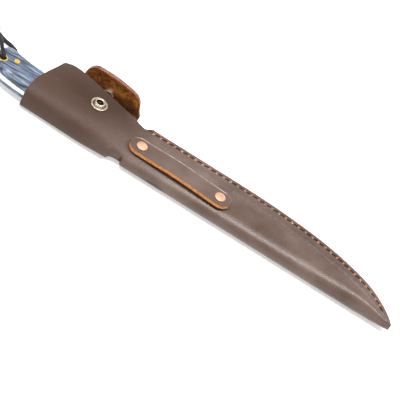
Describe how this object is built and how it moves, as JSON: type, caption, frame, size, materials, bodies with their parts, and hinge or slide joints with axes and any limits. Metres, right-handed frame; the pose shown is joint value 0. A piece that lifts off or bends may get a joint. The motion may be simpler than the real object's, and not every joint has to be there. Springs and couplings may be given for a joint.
{
  "type": "hori hori knife in sheath",
  "caption": "Garden digging knife with wooden scales and a lanyard, in a folded leather belt sheath with a stitched seam, a riveted belt strap and a snap flap.",
  "frame": {"origin": "on the collar's flat back, under the axis of the snap stud", "axes": "+X from the handle's butt to the sheath's tip, +Y from the fold to the stitched seam, +Z out of the front panel"},
  "size_m": [0.3744, 0.0683, 0.0262],
  "materials": {
    "steel": "satin stainless steel",
    "wood": "blue-grey laminated wood, sealed and smooth",
    "brass": "polished brass",
    "cord": "black braided cord",
    "leather": "dark brown oiled leather with a soft sheen",
    "leather_edge": "raw cut leather edge",
    "thread": "waxed brown thread",
    "copper": "pale copper, polished",
    "nickel": "warm nickel plate"
  },
  "bodies": {
    "sheath": {"sheath_body": "leather", "collar_wing": "leather", "welt": "leather_edge", "needle_thread": "thread", "bobbin_thread": "thread", "belt_strap": "leather", "belt_rivet_caps": "copper", "belt_rivet_posts": "copper", "snap_stud": "nickel", "snap_stud_eyelet": "nickel"},
    "knife": {"blade": "steel", "scale_front": "wood", "scale_rear": "wood", "handle_pins": "brass", "lanyard_tube": "brass", "lanyard_cord": "cord", "lanyard_knot": "cord"},
    "flap": {"flap": "leather", "snap_cap": "nickel", "snap_socket": "nickel", "snap_spring": "nickel"}
  },
  "joints": [
    {"name": "knife_draw", "type": "slide", "parent": "sheath", "child": "knife", "axis": [-1, 0, 0], "range_m": [0, 0.285]},
    {"name": "flap_fold", "type": "hinge", "parent": "sheath", "child": "flap", "pos_m": [0, 0.0053, 0.00125], "axis": [1, 0, 0], "range_deg": [0, 60], "deforming": ["collar_wing"]}
  ]
}
